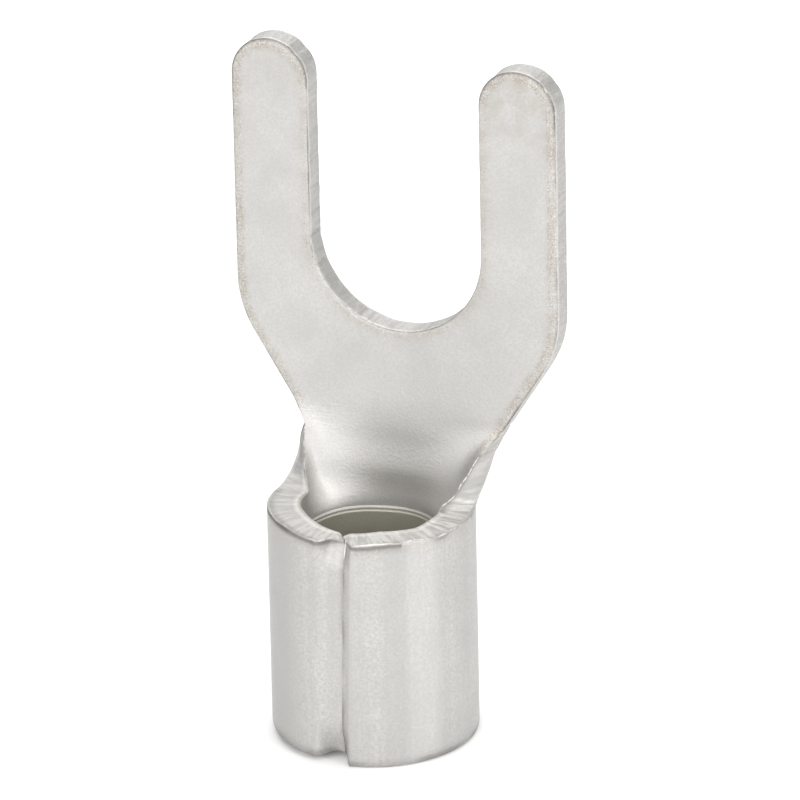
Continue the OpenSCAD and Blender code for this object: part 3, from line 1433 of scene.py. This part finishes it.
@dataclass(frozen=True)
class TinFinish:
    """Satin tin plate over copper, with worn edges and a dull bore.

    Colours come first, then the shares at which each layer shows, then the reliefs in mm.
    """

    name: str = "tin_plate"
    tin: Colour = (0.572, 0.562, 0.543, 1.0)
    shade: Colour = (0.455, 0.447, 0.435, 1.0)
    # Bright colour of fresh metal, also used for painted highlights
    sheared: Colour = (0.74, 0.725, 0.695, 1.0)
    worn: Colour = (0.38, 0.33, 0.275, 1.0)
    film: Colour = (0.50, 0.48, 0.41, 1.0)
    pit: Colour = (0.25, 0.20, 0.16, 1.0)
    # Colour of the painted shade along edges, in creases and scores
    shade_paint: Colour = (0.09, 0.08, 0.07, 1.0)
    roughness: float = 0.57
    cloud_roughness: float = 0.12
    cut_roughness: float = 0.06
    metal: float = 0.78
    burnish: float = 0.07
    clouded: float = 0.45
    grained: float = 0.56
    grained_barrel: float = 0.44
    peeled: float = 0.20
    banded: float = 0.35
    drawn: float = 0.25
    # Shares of painted light over the trough and the tongue's lower front, high and low, and on the left
    painted_trough_light: float = 0.26
    painted_trough_light_low: float = 0.20
    painted_trough_light_left: float = 0.10
    # Lightening of the rim's sheared faces: fresh metal, and painted light that is stronger on the right
    rim_shear_and_painted_light: tuple[float, float] = (0.22, 0.62)
    striped: float = 0.75
    neck_dull: float = 0.45
    entry: float = 0.60
    edge_tint: tuple[float, float] = (0.40, 0.12)
    tarnished: tuple[float, float] = (0.10, 0.34)
    pitted: float = 0.40
    pits_at_edges: float = 0.22
    chipped: float = 0.60
    chips_at_edges: float = 0.15
    # How dark the painted shade along the edges gets
    shade_paint_share: float = 0.80
    scraped: float = 0.30
    grain_relief: float = 0.008
    peel_relief: float = 0.016
    peel_on_flat: float = 0.2
    drawn_relief: float = 0.006
    scuff_relief: float = 0.010
    stripe_relief: float = 0.038

    def plating(self, spot: PlateMap) -> list[Layer]:
        """Clouds, grain, the barrel's orange peel and drawn streaks, and its upright bands of painted
        highlight and painted shade.

        Args:
            spot: What is known of a shaded point.

        Returns:
            The layers, from the lowest up.
        """
        tree = spot.tree
        grained = tree.math("MULTIPLY_ADD", spot.barrel, self.grained_barrel, self.grained)
        drawn = tree.math("ADD", spot.shown("band", self.banded), spot.shown("drawn", self.drawn))
        layers = [
            (spot.shown("cloud", self.clouded), self.shade),
            (tree.product(spot.shown("grain"), grained), self.shade),
            (tree.product(spot.barrel, spot.shown("peel", self.peeled)), self.sheared),
            (tree.product(spot.barrel, drawn), self.shade),
        ]
        radius = SheetSizes.barrel_d / 2
        # Upright bands of painted highlight and painted shade, fixed to the barrel by azimuth
        for light_band in PAINTED_LIGHT_BANDS:
            toward = {0: spot.place, 1: direction(light_band.azimuth, 0.0)}
            facing = tree.node("ShaderNodeVectorMath", toward, operation="DOT_PRODUCT").outputs["Value"]
            border = radius * math.cos(math.radians(light_band.half_width))
            share = tree.eased(facing, border, radius, 0.0, abs(light_band.share))
            colour = self.sheared if light_band.share > 0 else self.shade
            layers.append((tree.product(spot.barrel, share), colour))
        return layers

    def forming(self, spot: PlateMap) -> list[Layer]:
        """Painted light over the trough and the tongue's lower front, the rim's lighter sheared faces, and
        the sheared faces with their stripes.

        Args:
            spot: What is known of a shaded point.

        Returns:
            The layers, from the lowest up.
        """
        tree = spot.tree
        # Painted light that lifts the shade over the trough and the tongue's lower front, weaker on the left
        painted_trough_light = tree.math(
            "ADD",
            tree.eased(spot.height, *TROUGH_TOP, self.painted_trough_light, 0.0),
            tree.eased(spot.height, *TROUGH_LOW, self.painted_trough_light_low, 0.0),
        )
        aside = tree.eased(spot.sideways, *TROUGH_LEFT, self.painted_trough_light_left, 1.0)
        # The rim's sheared faces are lighter, partly as fresh metal and partly as painted light, more on the
        # right
        rim = tree.product(
            tree.eased(spot.sideways, *RIM_SIDES, *self.rim_shear_and_painted_light),
            tree.eased(spot.height, *RIM_TOP, 1.0, 0.0),
        )
        dull = tree.math(
            "ADD",
            tree.eased(spot.stripes, STRIPES.low, STRIPES.high, 0.0, self.striped),
            tree.eased(spot.height, *NECK_FOOT, 0.0, self.neck_dull),
        )
        entry = tree.product(
            tree.eased(spot.depth, *ENTRY_FROM),
            tree.eased(spot.depth, *ENTRY_TO, self.entry, 0.0),
        )
        return [
            (tree.product(spot.pressed, painted_trough_light, aside), self.sheared),
            (tree.product(spot.cut, rim), self.sheared),
            (tree.product(spot.cut, dull), self.shade),
            (tree.product(spot.cut, entry), self.sheared),
        ]

    def ageing(self, spot: PlateMap) -> list[Layer]:
        """Worn edges, tarnished tips, pits and chips, the bore's film, painted shade along edges and in
        scores, and scrapes.

        Args:
            spot: What is known of a shaded point.

        Returns:
            The layers, from the lowest up.
        """
        tree = spot.tree
        blotch = spot.shown("blotch")
        tint = tree.math("MULTIPLY_ADD", blotch, *self.edge_tint)
        tarnish = tree.product(
            tree.eased(spot.height, *TIP_TARNISH),
            tree.eased(spot.sideways, *TIP_SIDES, *self.tarnished),
        )
        return [
            (tree.product(spot.wear, spot.whole, tint), self.worn),
            (tree.product(tarnish, blotch, spot.inner), self.worn),
            (tree.product(spot.shown("speck", self.pitted, self.pits_at_edges), spot.whole), self.pit),
            (spot.shown("fleck", self.chipped, self.chips_at_edges), self.sheared),
            (tree.product(tree.eased(spot.height, *BORE_TOP, 1.0, 0.0), spot.inner), self.film),
            # Painted shade along edges, in creases and scores and under burrs
            (tree.product(spot.painted_shade, self.shade_paint_share), self.shade_paint),
            (tree.product(spot.scraped, spot.shown("scuff", self.scraped)), self.sheared),
        ]

    def relief(self, spot: PlateMap) -> Socket:
        """The normal with the fine reliefs of grain, peel, drawing, scuffs and shearing.

        Args:
            spot: What is known of a shaded point.

        Returns:
            The normal's socket.
        """
        tree = spot.tree
        peeled = tree.math("MULTIPLY_ADD", spot.barrel, 1 - self.peel_on_flat, self.peel_on_flat)
        normal = tree.bump(spot.noise["grain"], self.grain_relief, 1.0, None)
        normal = tree.bump(spot.noise["peel"], self.peel_relief, peeled, normal)
        normal = tree.bump(spot.noise["drawn"], self.drawn_relief, spot.barrel, normal)
        normal = tree.bump(spot.noise["scuff"], self.scuff_relief, spot.scraped, normal)
        return tree.bump(spot.stripes, self.stripe_relief, spot.cut, normal)

    def rough(self, spot: PlateMap) -> Socket:
        """The roughness, lower where the trough is burnished and higher on the cut faces.

        Args:
            spot: What is known of a shaded point.

        Returns:
            The roughness's socket.
        """
        tree = spot.tree
        clouds = tree.math("SUBTRACT", spot.noise["cloud"], NOISE_MEAN)
        rough = tree.math("MULTIPLY_ADD", clouds, self.cloud_roughness, self.roughness)
        burnished = tree.product(spot.pressed, tree.eased(spot.height, *BURNISH_TOP, self.burnish, 0.0))
        rough = tree.math("SUBTRACT", rough, burnished)
        return tree.math("MULTIPLY_ADD", spot.cut, self.cut_roughness, rough)

    def material(self) -> bpy.types.Material:
        """Build the material.

        Returns:
            The material.
        """
        made = bpy.data.materials.new(self.name)
        made.use_nodes = True
        tree = Tree(made.node_tree)
        spot = PlateMap(tree)
        colour = self.tin
        for share, toward in self.plating(spot) + self.forming(spot) + self.ageing(spot):
            colour = tree.blend(share, colour, toward)
        shader = made.node_tree.nodes["Principled BSDF"]
        shader.inputs["Metallic"].default_value = self.metal
        made.node_tree.links.new(colour, shader.inputs["Base Color"])
        made.node_tree.links.new(self.rough(spot), shader.inputs["Roughness"])
        made.node_tree.links.new(self.relief(spot), shader.inputs["Normal"])
        return made


BURR_FINISH = TinFinish("tin_burr", tin=(0.72, 0.705, 0.68, 1.0), roughness=0.45)


@dataclass(frozen=True)
class BurrRun:
    """A stretch of edge that carries burrs: its place on the blank and its curl's radius, in mm."""

    edge: Edge
    face: Face
    across: tuple[float, float]
    height: tuple[float, float]
    curl: float
    chance: float


BURR_RUNS = (
    BurrRun(Edge.RIM, Face.OUTER, (6.25, 7.50), (6.0, 8.0), 0.028, 0.25),
    BurrRun(Edge.RIM, Face.OUTER, (4.00, 6.20), (6.0, 8.0), 0.012, 0.30),
    BurrRun(Edge.RIM, Face.OUTER, (-7.60, -4.00), (6.0, 8.0), 0.006, 0.20),
    BurrRun(Edge.RIGHT_FLAP, Face.OUTER, (7.00, 8.20), (6.45, 7.0), 0.020, 0.60),
    BurrRun(Edge.NECK, Face.INNER, (2.50, 4.20), (7.0, 9.2), 0.005, 0.40),
    BurrRun(Edge.NECK, Face.INNER, (-4.20, -2.50), (7.0, 9.2), 0.006, 0.45),
    BurrRun(Edge.FORK, Face.INNER, (-2.80, 1.00), (11.0, 14.6), 0.014, 0.15),
    BurrRun(Edge.FLANK, Face.INNER, (4.50, 5.10), (12.0, 19.6), 0.006, 0.12),
)


@dataclass
class EdgeBurrs:
    """Burrs that the shears left: thin curls along the edges and flecks on them."""

    material: bpy.types.Material
    fleck_small: tuple[float, float, float] = (0.012, 0.012, 0.03)
    fleck_large: tuple[float, float, float] = (0.030, 0.030, 0.12)
    fleck_sides: tuple[int, int] = (7, 5)
    curl_sides: int = 6
    thin_end: float = 0.2
    seed: int = 31

    def lines(self, plan: Blank, sheet: bpy.types.Mesh) -> bpy.types.Object:
        """Lay the burred stretches out as open lines on the rolled sheet.

        Args:
            plan: The blank that was rolled.
            sheet: The rolled sheet's mesh.

        Returns:
            An object of lines, with each point's curl radius and chance of a fleck.
        """
        place = np.empty(len(sheet.vertices) * 3, np.float32)
        sheet.vertices.foreach_get("co", place)
        place = place.reshape(-1, 3)
        across, height = plan.border.T
        points, edges, curls, chances = [], [], [], []
        for run in BURR_RUNS:
            on_run = (plan.kinds == run.edge) & (across > run.across[0]) & (across < run.across[1])
            on_run &= (height > run.height[0]) & (height < run.height[1])
            indices = np.flatnonzero(on_run)
            first = len(points)
            arch = np.sqrt(np.maximum(np.sin(np.linspace(0, math.pi, len(indices))), 0.0))
            taper = self.thin_end + (1 - self.thin_end) * arch
            swell = Walk(2, self.seed, mean=0.8, swing=0.6, low=0.3, high=1.5).draw(len(indices))
            points += place[CORNER_RINGS[run.face] * len(plan.border) + indices].tolist()
            edges += [(k, k + 1) for k in range(first, len(points) - 1)]
            curls += (run.curl * MM * taper * swell).tolist()
            chances += [run.chance] * len(indices)
        mesh = bpy.data.meshes.new("burr_lines")
        mesh.from_pydata(points, edges, [])
        for name, values in (("curl", curls), ("chance", chances)):
            mesh.attributes.new(name, "FLOAT", "POINT").data.foreach_set("value", values)
        made = bpy.data.objects.new("burr_lines", mesh)
        bpy.context.scene.collection.objects.link(made)
        return made

    def tree(self) -> bpy.types.GeometryNodeTree:
        """Build the tree that grows the burrs along the lines.

        Returns:
            The node group, with its sizes and its seed as named inputs.
        """
        kinds = dict.fromkeys(("Fleck small", "Fleck large"), "NodeSocketVector")
        group = node_group("grow_burrs", {**kinds, "Seed": "NodeSocketInt"})
        tree = Tree(group)
        given = tree.node("NodeGroupInput").outputs
        curve = tree.node("GeometryNodeMeshToCurve", {0: given["Geometry"]}).outputs[0]
        curl = tree.node("GeometryNodeInputNamedAttribute", {"Name": "curl"}).outputs[0]
        chance = tree.node("GeometryNodeInputNamedAttribute", {"Name": "chance"}).outputs[0]
        circle = {"Resolution": self.curl_sides, "Radius": 1.0}
        section = tree.node("GeometryNodeCurvePrimitiveCircle", circle).outputs[0]
        curls = tree.node("GeometryNodeCurveToMesh", {0: curve, 1: section, 2: curl, 3: True}).outputs[0]
        spots = tree.node("GeometryNodeCurveToPoints", {0: curve}, mode="EVALUATED").outputs
        draw = tree.node("FunctionNodeRandomValue", {"Seed": given["Seed"]}, data_type="FLOAT").outputs[1]
        chosen = tree.node("FunctionNodeCompare", {0: draw, 1: chance}, operation="LESS_THAN").outputs[0]
        sizes = {0: given["Fleck small"], 1: given["Fleck large"], "Seed": given["Seed"]}
        size = tree.node("FunctionNodeRandomValue", sizes, data_type="FLOAT_VECTOR").outputs[0]
        sphere = {"Segments": self.fleck_sides[0], "Rings": self.fleck_sides[1], "Radius": 1.0}
        fleck = tree.node("GeometryNodeMeshUVSphere", sphere).outputs[0]
        set_out = {"Points": spots[0], "Selection": chosen, "Instance": fleck, "Scale": size}
        set_out["Rotation"] = spots["Rotation"]
        flecks = tree.node("GeometryNodeInstanceOnPoints", set_out).outputs[0]
        joined = tree.node("GeometryNodeJoinGeometry", {0: curls})
        group.links.new(flecks, joined.inputs[0])
        tree.finish(joined.outputs[0], self.material)
        return group

    def build(self, plan: Blank, sheet: bpy.types.Mesh) -> bpy.types.Object:
        """Grow the burrs.

        Args:
            plan: The blank that was rolled.
            sheet: The rolled sheet's mesh.

        Returns:
            The finished piece.
        """
        lines = self.lines(plan, sheet)
        small, large = ([size * MM for size in sizes] for sizes in (self.fleck_small, self.fleck_large))
        mesh = evaluated(lines, self.tree(), {"Fleck small": small, "Fleck large": large, "Seed": self.seed})
        bpy.data.objects.remove(lines)
        mesh.name = "edge_burrs"
        mesh.shade_smooth()
        piece = bpy.data.objects.new("edge_burrs", mesh)
        bpy.context.scene.collection.objects.link(piece)
        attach(piece, BODY)
        LOG.info("%s: %d points, %d faces", piece.name, len(mesh.vertices), len(mesh.polygons))
        return piece


def weighted_normals(mesh: bpy.types.Mesh) -> np.ndarray:
    """Vertex normals in which large faces count most, so that narrow edges shade crisply.

    Args:
        mesh: The mesh.

    Returns:
        One unit normal for each vertex.
    """
    count = len(mesh.polygons)
    normal = np.empty(count * 3, np.float32)
    area = np.empty(count, np.float32)
    sides = np.empty(count, np.int32)
    corner = np.empty(len(mesh.loops), np.int32)
    mesh.polygons.foreach_get("normal", normal)
    mesh.polygons.foreach_get("area", area)
    mesh.polygons.foreach_get("loop_total", sides)
    mesh.loops.foreach_get("vertex_index", corner)
    weighted = np.repeat(normal.reshape(-1, 3) * area[:, None], sides, axis=0)
    total = np.zeros((len(mesh.vertices), 3))
    np.add.at(total, corner, weighted)
    return total / np.maximum(np.linalg.norm(total, axis=1), TINY**2)[:, None]


@dataclass
class ForkTerminal:
    """The whole terminal: one sheet, stamped, rolled and plated."""

    sizes: SheetSizes = field(default_factory=SheetSizes)
    finish: TinFinish = field(default_factory=TinFinish)
    burr_finish: TinFinish = BURR_FINISH

    def blank(self, plan: Blank) -> bpy.types.Object:
        """Make the flat blank's object, with its values as attributes."""
        mesh = bpy.data.meshes.new("blank")
        mesh.from_pydata((plan.points * MM).tolist(), [], plan.faces)
        for name, values in plan.values.items():
            layer = mesh.attributes.new(name, "FLOAT", "POINT")
            layer.data.foreach_set("value", values.astype(np.float32))
        made = bpy.data.objects.new("blank", mesh)
        bpy.context.scene.collection.objects.link(made)
        return made

    def build(self) -> bpy.types.Object:
        """Stamp, roll and dress the terminal.

        Returns:
            The finished piece.
        """
        plan = Blank(self.sizes)
        plan.build()
        blank = self.blank(plan)
        mesh = RollingDie(self.sizes, self.finish.material()).press(blank)
        bpy.data.objects.remove(blank)
        mesh.name = "terminal_sheet"
        mesh.shade_smooth()
        mesh.normals_split_custom_set_from_vertices(weighted_normals(mesh))
        piece = bpy.data.objects.new("terminal_sheet", mesh)
        bpy.context.scene.collection.objects.link(piece)
        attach(piece, BODY)
        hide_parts(NODE)
        LOG.info("%s: %d points, %d faces", piece.name, len(mesh.vertices), len(mesh.polygons))
        EdgeBurrs(self.burr_finish.material()).build(plan, mesh)
        return piece


@dataclass(frozen=True)
class Softbox:
    """A soft rectangular light: its direction in degrees, its distance and size in metres."""

    name: str
    azimuth: float
    elevation: float
    distance: float
    width: float
    height: float
    glow: float


RIGHT_LIGHT = Softbox(
    "right_light", azimuth=70.0, elevation=34.0, distance=0.40, width=0.08, height=0.16, glow=7.0,
)


@dataclass(frozen=True)
class Glow:
    """A soft glow of the light tent: its direction and half width in degrees, and its strength."""

    azimuth: float
    elevation: float
    half_width: float
    strength: float


GLOWS = (
    Glow(0.0, 90.0, 42.0, 2.0),
    Glow(350.0, 28.0, 40.0, 2.5),
    Glow(39.0, 18.0, 42.0, 1.7),
    Glow(84.0, 16.0, 30.0, 1.3),
    Glow(114.0, 30.0, 35.0, 0.6),
    Glow(204.0, 44.0, 44.0, 2.1),
    Glow(324.0, 16.0, 30.0, 0.5),
)


@dataclass
class Studio:
    """Floor, light and camera, with the camera as fitted to the photograph.

    Angles are in degrees, the camera's distance and aim and its sensor in mm, clip and floor in metres.
    """

    azimuth: float = 23.77
    elevation: float = 23.27
    roll: float = -1.2
    distance: float = 255.8
    focal_px: float = 8964.5
    image_px: float = 800.0
    aim_across: float = 0.885
    aim_height: float = 10.207
    sensor: float = 36.0
    clip: tuple[float, float] = (0.01, 10.0)
    fill: float = 0.05
    floor_reach: float = 0.6
    floor_white: float = 0.92

    def camera(self) -> None:
        """Place the camera at the photograph's view."""
        r = math.radians(self.roll)
        back = direction(self.azimuth, self.elevation)
        right = direction(self.azimuth + 90.0, 0.0)
        up = back.cross(right)
        across = right * math.cos(r) + up * math.sin(r)
        upright = up * math.cos(r) - right * math.sin(r)
        aim = right * self.aim_across + Vector((0, 0, self.aim_height))
        place = (aim + back * self.distance) * MM
        data = bpy.data.cameras.new("camera")
        data.sensor_width = self.sensor
        data.lens = data.sensor_width * self.focal_px / self.image_px
        data.clip_start, data.clip_end = self.clip
        made = bpy.data.objects.new("camera", data)
        turn = Matrix((across, upright, back)).transposed().to_4x4()
        made.matrix_world = Matrix.Translation(place) @ turn
        bpy.context.scene.collection.objects.link(made)
        bpy.context.scene.camera = made

    def floor(self) -> None:
        """Lay the pale floor."""
        mesh = bpy.data.meshes.new("floor")
        r = self.floor_reach
        corners = [(-r, -r, 0), (r, -r, 0), (r, r, 0), (-r, r, 0)]
        mesh.from_pydata(corners, [], [(0, 1, 2, 3)])
        made = bpy.data.objects.new("floor", mesh)
        paper = bpy.data.materials.new("floor_paper")
        paper.use_nodes = True
        shader = paper.node_tree.nodes["Principled BSDF"]
        shader.inputs["Base Color"].default_value = (*[self.floor_white] * 3, 1.0)
        shader.inputs["Roughness"].default_value = 1.0
        shader.inputs["Specular IOR Level"].default_value = 0.0
        mesh.materials.append(paper)
        bpy.context.scene.collection.objects.link(made)

    def softbox(self, box: Softbox) -> None:
        """Hang one soft light, turned towards the terminal.

        Args:
            box: Where it hangs and how it glows.
        """
        data = bpy.data.lights.new(box.name, "AREA")
        data.shape = "RECTANGLE"
        data.size = box.width
        data.size_y = box.height
        data.energy = box.glow * math.pi * box.width * box.height
        made = bpy.data.objects.new(box.name, data)
        back = direction(box.azimuth, box.elevation)
        made.location = back * box.distance
        made.rotation_euler = back.to_track_quat("Z", "Y").to_euler()
        bpy.context.scene.collection.objects.link(made)

    def light(self) -> None:
        """Set the light tent's glows and the soft light."""
        world = bpy.data.worlds.new("studio")
        world.use_nodes = True
        tree = Tree(world.node_tree)
        way = tree.node("ShaderNodeTexCoord").outputs["Generated"]
        total = self.fill
        for glow in GLOWS:
            toward = {0: way, 1: direction(glow.azimuth, glow.elevation)}
            facing = tree.node("ShaderNodeVectorMath", toward, operation="DOT_PRODUCT").outputs["Value"]
            rim = math.cos(math.radians(glow.half_width))
            total = tree.math("ADD", tree.eased(facing, rim, 1.0, 0.0, glow.strength), total)
        background = world.node_tree.nodes["Background"]
        background.inputs["Color"].default_value = (1.0, 1.0, 1.0, 1.0)
        world.node_tree.links.new(total, background.inputs["Strength"])
        bpy.context.scene.world = world
        bpy.context.scene.view_settings.view_transform = "Standard"
        self.softbox(RIGHT_LIGHT)

    def build(self) -> None:
        """Make the floor, the light and the camera."""
        self.camera()
        self.floor()
        self.light()


def main() -> None:
    """Build the terminal and the studio."""
    logging.basicConfig(level=logging.INFO, format="%(message)s")
    ForkTerminal().build()
    Studio().build()


if __name__ == "__main__":
    main()
